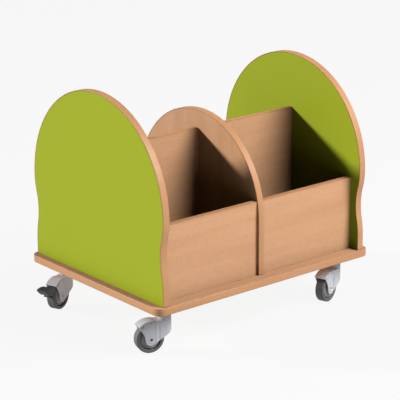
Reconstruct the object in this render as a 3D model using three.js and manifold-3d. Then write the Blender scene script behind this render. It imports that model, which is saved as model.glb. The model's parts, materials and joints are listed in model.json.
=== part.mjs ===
// Book cart: two rounded end panels faced in lime-green laminate, a lower rounded divider and a lengthwise
// centre wall make four open-topped bays for books, on a base board that rolls on four swivel casters.
// Millimetres, +Z up. X runs along the cart, -Y is the front, and the origin is the middle of the
// footprint on the floor.
import * as THREE from "three";
import { mergeVertices } from "three/addons/utils/BufferGeometryUtils.js";
import Module from "manifold-3d";

const wasm = await Module();
wasm.setup();

// ---- driving dimensions -------------------------------------------------------------------------
const gap = 0.3; // between pieces that touch

// base board
const baseLength = 720;
const baseDepth = 556;
const baseThickness = 19;
const baseCorner = 24;
const baseLip = 2.5; // solid beech lipping all round

// end panels: core board, a laminate sheet on each face, beech lipping over the curved edge
const endSetIn = 20; // outer face from the end of the base board
const endThickness = 19;
const endSetBack = 6; // foot from the front or rear edge of the base board
const endFootRise = 40; // the edge is upright up to here
const endWaistDepth = 10; // waist inside the foot
const endWaistRise = 128;
const endCrownSwell = 3; // crown outside the foot
const endCrownRise = 220; // centre of the crown above the base board
const endLip = 2.5;
const laminate = 1;

// middle divider
const dividerThickness = 19;
const dividerSetBack = 24; // from the end panels' feet
const dividerCrownRise = 146;
const dividerLip = 2;

// centre wall, one board in each half
const wallThickness = 12;
const wallHeight = 345;
const stripThickness = 2; // edging strip on the straight top edges

// front and rear panels of the bays
const bayPanelThickness = 16;
const bayPanelHeight = 198;
const bayPanelSetBack = 8; // outer face from the divider's front edge

// dowels between the end panels and the base board
const dowelRadius = 4;
const dowelInBase = 12;
const dowelInPanel = 24;
const dowelFromFoot = 92; // from the foot of the end panel

// casters
const casterHeight = 120; // floor to the underside of the base board
const casterInsetX = 68; // swivel axis from the end of the base board
const casterInsetY = 66; // swivel axis from the front or rear edge
const trail = 42; // swivel axis to axle
const wheelRadius = 37.5;
const treadWidth = 25;
const treadInner = 28;
const treadRound = 4; // rounding of the tread's shoulders
const treadInset = 2; // tread and rim behind the tread's sides
const discInset = 3.5; // disc behind the tread's sides
const rimWidth = 3;
const hubRadius = 13;
const hubWidth = 24;
const bushRadius = 8;
const axleRadius = 4;
const axleBore = 2.4; // the axle is a tube
const wheelPlay = 2.5; // each side of the tread, inside the housing
const cheekWall = 2.5;
const hoodPlay = 8; // tread to the inside of the hood
const hoodWall = 3.5;
const hoodMouth = THREE.MathUtils.degToRad(48); // trailing end of the hood, above the horizontal
const axleBoss = 16; // radius of the cheek round the axle
const cheekTurn = 12; // above the axle, where the cheek's trailing edge turns towards the hood
const neckAngle = THREE.MathUtils.degToRad(108); // where the hood's back runs level to the column
const columnRadius = 17.5;
const columnFoot = 54; // lower end of the column's outer side, above the floor
const stemRadius = 6;
const stemLength = 22; // of the pin below its flange
const shankRadius = 5;
const shankLength = 13; // of the threaded end in the board
const flangeRadius = 19;
const flangeThickness = 2.7;
const raceInner = 8;
const raceOuter = 15;
const raceThickness = 3.4;

// pinholes in the cheeks: one for the brake pedal's pivot and one for its spring
const pivotOut = 3.8; // outside the tread
const pivotAngle = THREE.MathUtils.degToRad(58.6); // about the axle, above the trail
const springOut = 5.6;
const springAngle = THREE.MathUtils.degToRad(92);
const springHole = 1.3;

// brake pedal on the rear casters
const pedalPin = 1.5;
const pedalBoss = 3.2;
const pedalPlay = 1; // each side, between the cheeks
const pedalTravel = THREE.MathUtils.degToRad(12);
const pedalReach = 80; // tip of the paddle past the axle
const pedalTip = 38; // height of the tip above the axle
const pedalArch = 6; // pull of the paddle's arched top above its tip
const pedalPlate = 3.2;
const pedalTipPlate = 2.2;
const shoePlay = 1; // shoe to tread with the brake on
const shoeEnd = THREE.MathUtils.degToRad(16); // lower end of the brake shoe
const paddleRoot = THREE.MathUtils.degToRad(26); // underside of the paddle leaves the shoe
const paddleNeck = THREE.MathUtils.degToRad(54); // top of the paddle leaves the shoe

// headings of the casters at rest: the way each wheel trails from its swivel axis
const headings = {
  front_left: 164,
  front_right: 197,
  rear_left: 202,
  rear_right: -22,
};
const braked = ["rear_left", "rear_right"];

// ---- fits that follow from them -----------------------------------------------------------------
const baseTop = casterHeight + baseThickness;
const endFaceX = baseLength / 2 - endSetIn;
const endMiddle = endFaceX - endThickness / 2; // x of an end panel's mid-plane
const endFootHalf = baseDepth / 2 - endSetBack;
const endWaistHalf = endFootHalf - endWaistDepth;
const endCrownRadius = endFootHalf + endCrownSwell;
const dividerRadius = endFootHalf - dividerSetBack;
const bayPanelMiddle = dividerRadius - bayPanelSetBack - bayPanelThickness / 2;
const dowelY = endFootHalf - dowelFromFoot;
const bayInner = dividerThickness / 2 + gap; // bays run from here...
const bayOuter = endFaceX - endThickness - gap; // ...to here
const bayLength = bayOuter - bayInner;
const bayMiddle = (bayOuter + bayInner) / 2;
const casterX = baseLength / 2 - casterInsetX;
const casterY = baseDepth / 2 - casterInsetY;
const flangeBottom = casterHeight - gap - flangeThickness;
const raceBottom = flangeBottom - gap - raceThickness;
const housingTop = raceBottom - gap;
const stemBottom = flangeBottom - stemLength;
const wellWidth = treadWidth + 2 * wheelPlay;
const cheekOutside = wellWidth + 2 * cheekWall;
const hoodInner = wheelRadius + hoodPlay; // radii about the axle
const hoodOuter = hoodInner + hoodWall;

// ---- materials ----------------------------------------------------------------------------------
const colours = {
  beech: [0xd8a078, 0.5, 0],
  beech_edge: [0xc89361, 0.55, 0],
  chipboard: [0xc2a078, 0.85, 0],
  green: [0xa9b432, 0.35, 0],
  dowel: [0xd9bd8f, 0.8, 0],
  grey_plastic: [0xb4b2b5, 0.45, 0],
  wheel_plastic: [0xaeacaf, 0.5, 0],
  tread_rubber: [0x74777a, 0.8, 0],
  pedal_plastic: [0x4f5052, 0.5, 0],
  steel: [0xc4c6c8, 0.3, 1],
};

function finish(kind) {
  const [color, roughness, metalness] = colours[kind];
  return new THREE.MeshStandardMaterial({ color, roughness, metalness });
}

// ---- solids -------------------------------------------------------------------------------------
// A closed geometry as a manifold solid.
function solidOf(geometry) {
  const bare = geometry.clone();
  bare.deleteAttribute("normal");
  bare.deleteAttribute("uv");
  const merged = mergeVertices(bare, 1e-4);
  const vertProperties = new Float32Array(merged.attributes.position.array);
  const triVerts = new Uint32Array(merged.index.array);
  return new wasm.Manifold(new wasm.Mesh({ numProp: 3, vertProperties, triVerts }));
}

function geometryOf(solid) {
  const mesh = solid.getMesh();
  const geometry = new THREE.BufferGeometry();
  geometry.setAttribute("position", new THREE.BufferAttribute(mesh.vertProperties, 3));
  geometry.setIndex(new THREE.BufferAttribute(mesh.triVerts, 1));
  geometry.computeVertexNormals();
  return geometry;
}

function cut(geometry, ...cutters) {
  let solid = solidOf(geometry);
  for (const cutter of cutters) solid = solid.subtract(solidOf(cutter));
  return geometryOf(solid);
}

function join(...geometries) {
  const [first, ...rest] = geometries.map(solidOf);
  return geometryOf(rest.reduce((all, next) => all.add(next), first));
}

function common(a, b) {
  return geometryOf(solidOf(a).intersect(solidOf(b)));
}

// A shape drawn across and up, made into a plate that stands across X and is centred on x = 0.
function standingPlate(shape, thickness) {
  const plate = new THREE.ExtrudeGeometry(shape, { depth: thickness, bevelEnabled: false, curveSegments: 8 });
  plate.translate(0, 0, -thickness / 2);
  plate.rotateX(Math.PI / 2);
  plate.rotateZ(Math.PI / 2);
  return plate;
}

// A shape drawn in plan, made into a plate from z = low upwards.
function lyingPlate(shape, low, thickness) {
  const plate = new THREE.ExtrudeGeometry(shape, { depth: thickness, bevelEnabled: false, curveSegments: 4 });
  plate.translate(0, 0, low);
  return plate;
}

// A shape drawn along X and up, made into a plate across Y and centred on y = 0.
function sidePlate(shape, width) {
  const plate = new THREE.ExtrudeGeometry(shape, { depth: width, bevelEnabled: false, curveSegments: 7 });
  plate.translate(0, 0, -width / 2);
  plate.rotateX(Math.PI / 2);
  return plate;
}

function box(x, y, z, centre) {
  const block = new THREE.BoxGeometry(x, y, z);
  block.translate(...centre);
  return block;
}

// An upright cylinder from z = low upwards.
function upright(radius, low, height, x, y, sides = 12) {
  const rod = new THREE.CylinderGeometry(radius, radius, height, sides);
  rod.rotateX(Math.PI / 2);
  rod.translate(x, y, low + height / 2);
  return rod;
}

// A cylinder across Y, centred on y = 0.
function crosswise(radius, length, x, z, sides = 12) {
  const rod = new THREE.CylinderGeometry(radius, radius, length, sides);
  rod.translate(x, 0, z);
  return rod;
}

// A closed ring turned about an upright axis from (radius, height) points.
function turned(points, sides) {
  const ring = new THREE.LatheGeometry(
    points.map(([r, z]) => new THREE.Vector2(r, z)),
    sides,
  );
  ring.rotateX(Math.PI / 2);
  return ring;
}

const cart = new THREE.Group();

function add(name, geometry, kind, parent = cart) {
  const mesh = new THREE.Mesh(geometry, finish(kind));
  mesh.name = name;
  parent.add(mesh);
  return mesh;
}

// ---- outlines -----------------------------------------------------------------------------------
// An end panel's edge, seen from the side: upright foot, shallow waist, half-round crown. It runs from the
// front foot over the crown to the rear foot; inset moves it inwards by a lipping's thickness.
function endEdge(inset, bottom) {
  const foot = endFootHalf - inset;
  const waist = endWaistHalf - inset;
  const radius = endCrownRadius - inset;
  const footPull = (endWaistRise - endFootRise) / 2;
  const crownPull = (endCrownRise - endWaistRise) / 2;
  const side = new THREE.Path();
  side.moveTo(-foot, bottom);
  side.lineTo(-foot, endFootRise);
  side.bezierCurveTo(-foot, endFootRise + footPull, -waist, endWaistRise - footPull, -waist, endWaistRise);
  side.bezierCurveTo(-waist, endWaistRise + crownPull, -radius, endCrownRise - crownPull, -radius, endCrownRise);
  const crown = new THREE.Path().absarc(0, endCrownRise, radius, Math.PI, 0, true);
  const front = side.getPoints(5);
  const rear = front.map(({ x, y }) => new THREE.Vector2(-x, y)).reverse();
  return [...front, ...crown.getPoints(16).slice(1, -1), ...rear];
}

// The divider's edge: upright sides and a half-round crown.
function dividerEdge(inset, bottom) {
  const half = dividerRadius - inset;
  const edge = new THREE.Path();
  edge.moveTo(-half, bottom);
  edge.lineTo(-half, dividerCrownRise);
  edge.absarc(0, dividerCrownRise, half, Math.PI, 0, true);
  edge.lineTo(half, bottom);
  return edge.getPoints(16);
}

// The board inside a lipping, and the lipping itself.
function boardWithin(edge, lip) {
  return new THREE.Shape(edge(lip + gap, gap));
}

function lippingOn(edge, lip) {
  return new THREE.Shape([...edge(0, gap), ...edge(lip, gap).reverse()]);
}

function roundedPlan(length, depth, corner) {
  const x = length / 2;
  const y = depth / 2;
  const plan = new THREE.Shape();
  plan.moveTo(-x + corner, -y);
  plan.lineTo(x - corner, -y);
  plan.absarc(x - corner, -y + corner, corner, -Math.PI / 2, 0, false);
  plan.lineTo(x, y - corner);
  plan.absarc(x - corner, y - corner, corner, 0, Math.PI / 2, false);
  plan.lineTo(-x + corner, y);
  plan.absarc(-x + corner, y - corner, corner, Math.PI / 2, Math.PI, false);
  plan.lineTo(-x, -y + corner);
  plan.absarc(-x + corner, -y + corner, corner, Math.PI, 1.5 * Math.PI, false);
  return plan;
}

// ---- base board and its lipping -----------------------------------------------------------------
const casterSpots = {
  front_left: [-casterX, -casterY],
  front_right: [casterX, -casterY],
  rear_left: [-casterX, casterY],
  rear_right: [casterX, casterY],
};
const dowelSpots = [];
for (const [board, x] of [["left", -endMiddle], ["right", endMiddle]])
  for (const [side, y] of [["front", -dowelY], ["rear", dowelY]])
    dowelSpots.push({ name: `dowel_${board}_${side}`, x, y });

const lipInset = 2 * (baseLip + gap);
const basePlan = roundedPlan(baseLength - lipInset, baseDepth - lipInset, baseCorner - lipInset / 2);
const shankHoles = Object.values(casterSpots).map(([x, y]) =>
  upright(shankRadius + gap, casterHeight - 1, shankLength + 1 + gap, x, y),
);
const dowelHoles = dowelSpots.map(({ x, y }) =>
  upright(dowelRadius + gap, baseTop - dowelInBase - gap, dowelInBase + gap + 1, x, y),
);
add("base_board", cut(lyingPlate(basePlan, casterHeight, baseThickness), ...shankHoles, ...dowelHoles), "beech");

const lipPlan = roundedPlan(baseLength, baseDepth, baseCorner);
lipPlan.holes.push(roundedPlan(baseLength - 2 * baseLip, baseDepth - 2 * baseLip, baseCorner - baseLip));
add("base_lipping", lyingPlate(lipPlan, casterHeight, baseThickness), "beech_edge");

for (const { name, x, y } of dowelSpots)
  add(name, upright(dowelRadius, baseTop - dowelInBase, dowelInBase + dowelInPanel, x, y), "dowel");

// ---- end panels ---------------------------------------------------------------------------------
const endCoreThickness = endThickness - 2 * (laminate + gap);
const dowelBores = [-dowelY, dowelY].map((y) =>
  upright(dowelRadius + gap, -1, dowelInPanel + 1 + gap, 0, y),
);
const endFace = new THREE.Shape(endEdge(endLip + gap, gap));
for (const [side, x] of [["left", -endMiddle], ["right", endMiddle]]) {
  const panel = new THREE.Group();
  panel.position.set(x, 0, baseTop);
  cart.add(panel);
  const core = standingPlate(boardWithin(endEdge, endLip), endCoreThickness);
  add(`end_panel_${side}`, cut(core, ...dowelBores), "chipboard", panel);
  add(`end_lipping_${side}`, standingPlate(lippingOn(endEdge, endLip), endThickness), "beech_edge", panel);
  const outward = Math.sign(x);
  for (const [face, way] of [["outer", outward], ["inner", -outward]]) {
    const sheet = add(`laminate_${side}_${face}`, standingPlate(endFace, laminate), "green", panel);
    sheet.position.x = way * (endThickness - laminate) / 2;
  }
}

// ---- divider ------------------------------------------------------------------------------------
const divider = new THREE.Group();
divider.position.set(0, 0, baseTop);
cart.add(divider);
const dividerBoard = standingPlate(boardWithin(dividerEdge, dividerLip), dividerThickness);
add("divider", dividerBoard, "beech", divider);
add("divider_lipping", standingPlate(lippingOn(dividerEdge, dividerLip), dividerThickness), "beech_edge", divider);

// ---- centre walls, front and rear panels --------------------------------------------------------
// A straight board along X with an edging strip on its top edge.
function bayBoard(name, x, y, thickness, height) {
  const board = height - stripThickness - 2 * gap;
  const middle = baseTop + gap + board / 2;
  add(name, box(bayLength, thickness, board, [x, y, middle]), "beech");
  const strip = baseTop + height - stripThickness / 2;
  add(`${name}_edging`, box(bayLength, thickness, stripThickness, [x, y, strip]), "beech_edge");
}

for (const [side, x] of [["left", -bayMiddle], ["right", bayMiddle]]) {
  bayBoard(`centre_wall_${side}`, x, 0, wallThickness, wallHeight);
  bayBoard(`front_panel_${side}`, x, -bayPanelMiddle, bayPanelThickness, bayPanelHeight);
  bayBoard(`rear_panel_${side}`, x, bayPanelMiddle, bayPanelThickness, bayPanelHeight);
}

// ---- casters ------------------------------------------------------------------------------------
// In a caster's own frame the swivel axis is upright through x = y = 0, the wheel trails along +X, and the
// floor is z = 0.
const axle = new THREE.Vector2(trail, wheelRadius);

// A point at a radius and an angle about a centre, seen from the side.
function about(radius, angle, centre = axle) {
  return new THREE.Vector2(centre.x + radius * Math.cos(angle), centre.y + radius * Math.sin(angle));
}

const columnEdge = new THREE.Vector2(-columnRadius, columnFoot);
const pedalPivot = about(wheelRadius + pivotOut, pivotAngle);
const springPin = about(wheelRadius + springOut, springAngle);

// Side view of the housing below its column: hood over the wheel, cheeks down to the axle boss. The leading
// edge is a straight line from the column's foot that touches the boss.
function housingSide() {
  const toBoss = axle.clone().sub(columnEdge);
  const touchAngle = toBoss.angle() - Math.asin(axleBoss / toBoss.length()) - Math.PI / 2;
  const touch = about(axleBoss, touchAngle);
  const mouth = about(hoodInner, hoodMouth);
  const side = new THREE.Shape();
  side.moveTo(columnEdge.x, columnEdge.y);
  side.lineTo(touch.x, touch.y);
  side.absarc(axle.x, axle.y, axleBoss, touchAngle, 0, false);
  side.quadraticCurveTo(axle.x + axleBoss, axle.y + cheekTurn, mouth.x, mouth.y);
  side.absarc(axle.x, axle.y, hoodOuter, hoodMouth, neckAngle, false);
  side.lineTo(columnEdge.x, about(hoodOuter, neckAngle).y);
  return side;
}

// Plan of the housing: round at the column, straight cheeks behind it.
function housingPlan() {
  const end = axle.x + hoodOuter;
  const half = cheekOutside / 2;
  const plan = new THREE.Shape();
  plan.moveTo(end, half);
  plan.lineTo(0, half);
  plan.absarc(0, 0, half, Math.PI / 2, 1.5 * Math.PI, false);
  plan.lineTo(end, -half);
  return plan;
}

function pinHole(radius, { x, y }, sides) {
  return crosswise(radius, cheekOutside + 2 * gap, x, y, sides);
}

function housingGeometry() {
  const body = common(sidePlate(housingSide(), cheekOutside), lyingPlate(housingPlan(), 0, casterHeight));
  const column = upright(columnRadius, columnFoot, housingTop - columnFoot, 0, 0, 16);
  const well = crosswise(hoodInner, wellWidth, axle.x, axle.y, 32);
  const socket = upright(stemRadius + gap, stemBottom - gap, flangeBottom - stemBottom, 0, 0);
  const axleHole = pinHole(axleRadius + gap, axle, 12);
  const pivotHole = pinHole(pedalPin + gap, pedalPivot, 8);
  return cut(join(body, column), well, socket, axleHole, pivotHole, pinHole(springHole, springPin, 8));
}

// Stem: pin in the housing, flange under the board, threaded shank up in the board.
function stemGeometry() {
  const flangeTop = flangeBottom + flangeThickness;
  const shankTop = flangeTop + gap + shankLength;
  const section = [
    [0, stemBottom],
    [stemRadius, stemBottom],
    [stemRadius, flangeBottom],
    [flangeRadius, flangeBottom],
    [flangeRadius, flangeTop],
    [shankRadius, flangeTop],
    [shankRadius, shankTop],
    [0, shankTop],
  ];
  return turned(section, 12);
}

function raceGeometry() {
  const top = raceBottom + raceThickness;
  const section = [
    [raceInner, raceBottom],
    [raceOuter, raceBottom],
    [raceOuter, top],
    [raceInner, top],
    [raceInner, raceBottom],
  ];
  return turned(section, 12);
}

// A ring about the axle, from one half of its section as (radius, offset from the wheel's mid-plane).
function wheelRing(half, sides) {
  const near = half.map(([r, y]) => [r, -y]);
  const far = [...half].reverse();
  const ring = turned([...near, ...far, near[0]], sides);
  ring.rotateZ(Math.PI / sides);
  ring.rotateX(Math.PI / 2);
  ring.translate(axle.x, 0, axle.y);
  return ring;
}

const wheelSides = 32; // the wheel stands on a flat facet
const rollRadius = wheelRadius / Math.cos(Math.PI / wheelSides);
const treadHalf = treadWidth / 2;
const coreRim = treadInner - gap;
const treadSection = [
  [treadInner, treadHalf - treadInset],
  [rollRadius - treadRound, treadHalf],
  [rollRadius, treadHalf - treadRound],
];
const coreSection = [
  [bushRadius + gap, hubWidth / 2],
  [hubRadius, hubWidth / 2],
  [hubRadius, treadHalf - discInset],
  [coreRim - rimWidth, treadHalf - discInset],
  [coreRim, treadHalf - treadInset],
];
const bushSection = [
  [axleRadius + gap, wellWidth / 2 - 2 * gap],
  [bushRadius, wellWidth / 2 - 2 * gap],
];
const axleSection = [
  [axleBore, cheekOutside / 2 - gap],
  [axleRadius, cheekOutside / 2 - gap],
];

// Brake pedal: a paddle past the hood's mouth, a boss round the pivot pin, and a curved shoe whose inner
// face lies along the tread once the pedal is pressed through its travel.
function pedalGeometry() {
  const lifted = axle.clone().rotateAround(pedalPivot, pedalTravel);
  const shoeInner = wheelRadius + shoePlay;
  const shoeOuter = shoeInner + pedalPlate;
  const shoeTop = pivotAngle + pedalTravel;
  const tip = new THREE.Vector2(axle.x + pedalReach, axle.y + pedalTip);
  const root = about(shoeOuter, paddleRoot, lifted);
  const neck = about(shoeOuter, paddleNeck, lifted);
  const side = new THREE.Shape();
  side.absarc(lifted.x, lifted.y, shoeOuter, shoeEnd, paddleRoot, false);
  side.quadraticCurveTo((root.x + tip.x) / 2, root.y, tip.x, tip.y - pedalTipPlate);
  side.lineTo(tip.x, tip.y);
  side.quadraticCurveTo((neck.x + tip.x) / 2, tip.y + pedalArch, neck.x, neck.y);
  side.absarc(lifted.x, lifted.y, shoeOuter, paddleNeck, shoeTop, false);
  side.absarc(lifted.x, lifted.y, shoeInner, shoeTop, shoeEnd, true);
  const width = wellWidth - 2 * pedalPlay;
  const boss = crosswise(pedalBoss, width, pedalPivot.x, pedalPivot.y);
  return cut(join(sidePlate(side, width), boss), pinHole(pedalPin + gap, pedalPivot, 8));
}

for (const [spot, [x, y]] of Object.entries(casterSpots)) {
  const caster = new THREE.Group();
  caster.position.set(x, y, 0);
  caster.rotation.z = THREE.MathUtils.degToRad(headings[spot]);
  cart.add(caster);
  add(`caster_${spot}_stem`, stemGeometry(), "steel", caster);
  add(`caster_${spot}_swivel_race`, raceGeometry(), "steel", caster);
  add(`caster_${spot}_housing`, housingGeometry(), "grey_plastic", caster);
  add(`caster_${spot}_axle`, wheelRing(axleSection, 12), "steel", caster);
  add(`caster_${spot}_bush`, wheelRing(bushSection, 12), "wheel_plastic", caster);
  add(`caster_${spot}_wheel`, wheelRing(coreSection, 24), "wheel_plastic", caster);
  add(`caster_${spot}_tread`, wheelRing(treadSection, wheelSides), "tread_rubber", caster);
  if (braked.includes(spot)) {
    add(`caster_${spot}_brake_pedal`, pedalGeometry(), "pedal_plastic", caster);
    const pin = crosswise(pedalPin, cheekOutside - 2 * gap, pedalPivot.x, pedalPivot.y, 8);
    add(`caster_${spot}_pedal_pin`, pin, "steel", caster);
  }
}

export default cart;
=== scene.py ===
import json
import math

import bmesh
import bpy
from mathutils import Matrix, Vector


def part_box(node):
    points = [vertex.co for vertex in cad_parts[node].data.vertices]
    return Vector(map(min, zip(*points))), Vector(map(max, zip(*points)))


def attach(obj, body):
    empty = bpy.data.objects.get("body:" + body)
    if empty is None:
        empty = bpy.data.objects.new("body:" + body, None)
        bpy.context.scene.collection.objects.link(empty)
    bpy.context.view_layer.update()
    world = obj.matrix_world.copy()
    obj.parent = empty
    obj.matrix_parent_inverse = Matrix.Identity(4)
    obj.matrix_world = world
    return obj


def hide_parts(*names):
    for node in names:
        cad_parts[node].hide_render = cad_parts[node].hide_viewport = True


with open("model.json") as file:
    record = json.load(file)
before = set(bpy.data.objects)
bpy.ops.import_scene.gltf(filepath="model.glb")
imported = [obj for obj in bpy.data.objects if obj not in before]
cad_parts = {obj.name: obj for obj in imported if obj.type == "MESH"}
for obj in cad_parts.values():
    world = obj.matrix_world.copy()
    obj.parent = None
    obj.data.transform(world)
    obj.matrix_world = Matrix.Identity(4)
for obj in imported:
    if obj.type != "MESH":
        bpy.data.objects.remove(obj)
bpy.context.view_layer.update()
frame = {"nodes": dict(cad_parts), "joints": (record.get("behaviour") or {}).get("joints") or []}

scene = bpy.context.scene
nodes = frame["nodes"]
joints = {joint["name"]: joint for joint in frame["joints"]}

# ---- studio ---------------------------------------------------------------------------------------
# A still-life set: a white paper floor, a hard lamp low behind the cart's left end, and a broad soft box
# at the front right. The camera stands well back with a long lens.
aim = Vector((0.025, 0.031, 0.269))
view_distance = 4.8
view_azimuth = math.radians(-39.31)
view_elevation = math.radians(17.70)
view_roll = math.radians(-0.36)

camera = bpy.data.objects.new("camera", bpy.data.cameras.new("camera"))
camera.data.lens = 161.2
camera.data.sensor_width = 36
turn = Matrix.Rotation(view_azimuth, 4, "Z") @ Matrix.Rotation(math.pi / 2 - view_elevation, 4, "X")
turn = turn @ Matrix.Rotation(view_roll, 4, "Z")
camera.matrix_world = Matrix.Translation(aim) @ turn @ Matrix.Translation((0, 0, view_distance))
scene.collection.objects.link(camera)
scene.camera = camera
scene.view_settings.view_transform = "Standard"


def lamp(name, kind, towards, distance, energy, colour):
    """A lamp that stands in a direction from the cart and shines at its middle."""
    data = bpy.data.lights.new(name, kind)
    data.energy = energy
    data.color = colour
    place = bpy.data.objects.new(name, data)
    place.location = aim + Vector(towards).normalized() * distance
    place.rotation_mode = "QUATERNION"
    place.rotation_quaternion = Vector(towards).to_track_quat("Z", "Y")
    place.visible_camera = False
    scene.collection.objects.link(place)
    return data


hard = lamp("hard_lamp", "SUN", (-0.64, 0.685, 0.349), 6, 3.85, (1.0, 0.985, 0.96))
hard.angle = math.radians(6)
soft = lamp("soft_box", "AREA", (0.33, -0.67, 0.665), 4.5, 258, (1.0, 0.995, 0.99))
soft.shape = "DISK"
soft.size = 2.7
for source in (hard, soft):
    source.cycles.max_bounces = 0

world = bpy.data.worlds.new("studio")
scene.world = world
world.use_nodes = True
backing = world.node_tree.nodes["Background"]
backing.inputs["Color"].default_value = (0.97, 0.985, 1.0, 1)
seen = world.node_tree.nodes.new("ShaderNodeLightPath")
level = world.node_tree.nodes.new("ShaderNodeMapRange")
level.inputs["To Min"].default_value = 0.03
level.inputs["To Max"].default_value = 1.0
world.node_tree.links.new(seen.outputs["Is Camera Ray"], level.inputs["Value"])
world.node_tree.links.new(level.outputs["Result"], backing.inputs["Strength"])

paper = bpy.data.materials.new("white paper")
paper.use_nodes = True
paper_nodes = paper.node_tree.nodes
paper_links = paper.node_tree.links
paper_skin = paper_nodes["Principled BSDF"]
paper_skin.inputs["Base Color"].default_value = (0.4, 0.4, 0.4, 1)
paper_skin.inputs["Roughness"].default_value = 0.9
paper_glow = paper_nodes.new("ShaderNodeEmission")
paper_ray = paper_nodes.new("ShaderNodeLightPath")
paper_share = paper_nodes.new("ShaderNodeMapRange")
paper_share.inputs["To Min"].default_value = 0.56
paper_share.inputs["To Max"].default_value = 0.9
paper_mix = paper_nodes.new("ShaderNodeMixShader")
paper_links.new(paper_ray.outputs["Is Camera Ray"], paper_share.inputs["Value"])
paper_links.new(paper_share.outputs["Result"], paper_mix.inputs["Fac"])
paper_links.new(paper_skin.outputs["BSDF"], paper_mix.inputs[1])
paper_links.new(paper_glow.outputs["Emission"], paper_mix.inputs[2])
paper_links.new(paper_mix.outputs["Shader"], paper_nodes["Material Output"].inputs["Surface"])

floor_form = bmesh.new()
bmesh.ops.create_grid(floor_form, x_segments=1, y_segments=1, size=30)
floor_mesh = bpy.data.meshes.new("paper_floor")
floor_form.to_mesh(floor_mesh)
floor_form.free()
floor_mesh.materials.append(paper)
floor = bpy.data.objects.new("paper_floor", floor_mesh)
scene.collection.objects.link(floor)

# ---- base board -----------------------------------------------------------------------------------
# A board veneered in steamed beech, its corners sawn round, that carries everything else. It is sanded
# and finished with a satin clear lacquer.
def socket(group, name, kind, way, value=None):
    made = group.interface.new_socket(name=name, in_out=way, socket_type=kind)
    if value is not None:
        made.default_value = value


def node(tree, kind, settings=(), **inputs):
    """A shader node with its settings, and its sockets given as numbers or as the outputs that feed them."""
    made = tree.nodes.new("ShaderNode" + kind)
    for key, value in dict(settings).items():
        setattr(made, key, value)
    for key, value in inputs.items():
        wanted = [s for s in made.inputs if s.name.replace(" ", "_") == key and s.enabled][0]
        if isinstance(value, bpy.types.NodeSocket):
            tree.links.new(value, wanted)
        else:
            wanted.default_value = value
    return made


def math_node(tree, operation, a, b=0.5):
    made = tree.nodes.new("ShaderNodeMath")
    made.operation = operation
    for place, value in enumerate((a, b)):
        if isinstance(value, bpy.types.NodeSocket):
            tree.links.new(value, made.inputs[place])
        else:
            made.inputs[place].default_value = value
    return made.outputs["Value"]


def new_group(name, inputs, outputs):
    group = bpy.data.node_groups.new(name, "ShaderNodeTree")
    for label, kind, value in inputs:
        socket(group, label, kind, "INPUT", value)
    for label, kind in outputs:
        socket(group, label, kind, "OUTPUT")
    start = group.nodes.new("NodeGroupInput")
    end = group.nodes.new("NodeGroupOutput")
    return group, start.outputs, end.inputs


# Figure of planed beech: broad tone bands, fine growth lines and the short dark flecks of its rays. The
# grain runs along the vector's X.
beech_figure, given, put = new_group(
    "beech figure",
    [("Vector", "NodeSocketVector", None), ("Seed", "NodeSocketFloat", 0.0)],
    [("Tone", "NodeSocketFloat"), ("Lines", "NodeSocketFloat"), ("Flecks", "NodeSocketFloat"),
     ("Height", "NodeSocketFloat")],
)
drift = node(beech_figure, "TexNoise", {"noise_dimensions": "4D"}, Vector=given["Vector"], W=given["Seed"],
             Scale=5.0, Detail=2.0)
bend = node(beech_figure, "VectorMath", {"operation": "SCALE"}, Vector=drift.outputs["Color"], Scale=0.012)
bent = node(beech_figure, "VectorMath", {"operation": "ADD"})
beech_figure.links.new(given["Vector"], bent.inputs[0])
beech_figure.links.new(bend.outputs["Vector"], bent.inputs[1])
bands_at = node(beech_figure, "Mapping", Vector=bent.outputs["Vector"], Scale=(1.6, 26, 26))
bands = node(beech_figure, "TexNoise", {"noise_dimensions": "4D"}, Vector=bands_at.outputs["Vector"],
             W=given["Seed"], Scale=1.0, Detail=3.0, Roughness=0.55)
lines_at = node(beech_figure, "Mapping", Vector=bent.outputs["Vector"], Scale=(7, 420, 420))
lines = node(beech_figure, "TexNoise", {"noise_dimensions": "4D"}, Vector=lines_at.outputs["Vector"],
             W=given["Seed"], Scale=1.0, Detail=4.0, Roughness=0.6)
flecks_at = node(beech_figure, "Mapping", Vector=bent.outputs["Vector"], Scale=(150, 950, 950))
flecks = node(beech_figure, "TexVoronoi", {"voronoi_dimensions": "3D", "feature": "F1"},
              Vector=flecks_at.outputs["Vector"], Scale=1.0, Randomness=1.0)
fleck_mask = node(beech_figure, "MapRange", {"interpolation_type": "SMOOTHSTEP"},
                  Value=flecks.outputs["Distance"], From_Min=0.18, From_Max=0.34, To_Min=1.0, To_Max=0.0)
tone = node(beech_figure, "MapRange", Value=bands.outputs["Fac"], From_Min=0.32, From_Max=0.68)
line_mask = node(beech_figure, "MapRange", Value=lines.outputs["Fac"], From_Min=0.35, From_Max=0.7)
beech_figure.links.new(tone.outputs["Result"], put["Tone"])
beech_figure.links.new(line_mask.outputs["Result"], put["Lines"])
beech_figure.links.new(fleck_mask.outputs["Result"], put["Flecks"])
relief = math_node(beech_figure, "SUBTRACT", line_mask.outputs["Result"], fleck_mask.outputs["Result"])
beech_figure.links.new(relief, put["Height"])

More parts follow.
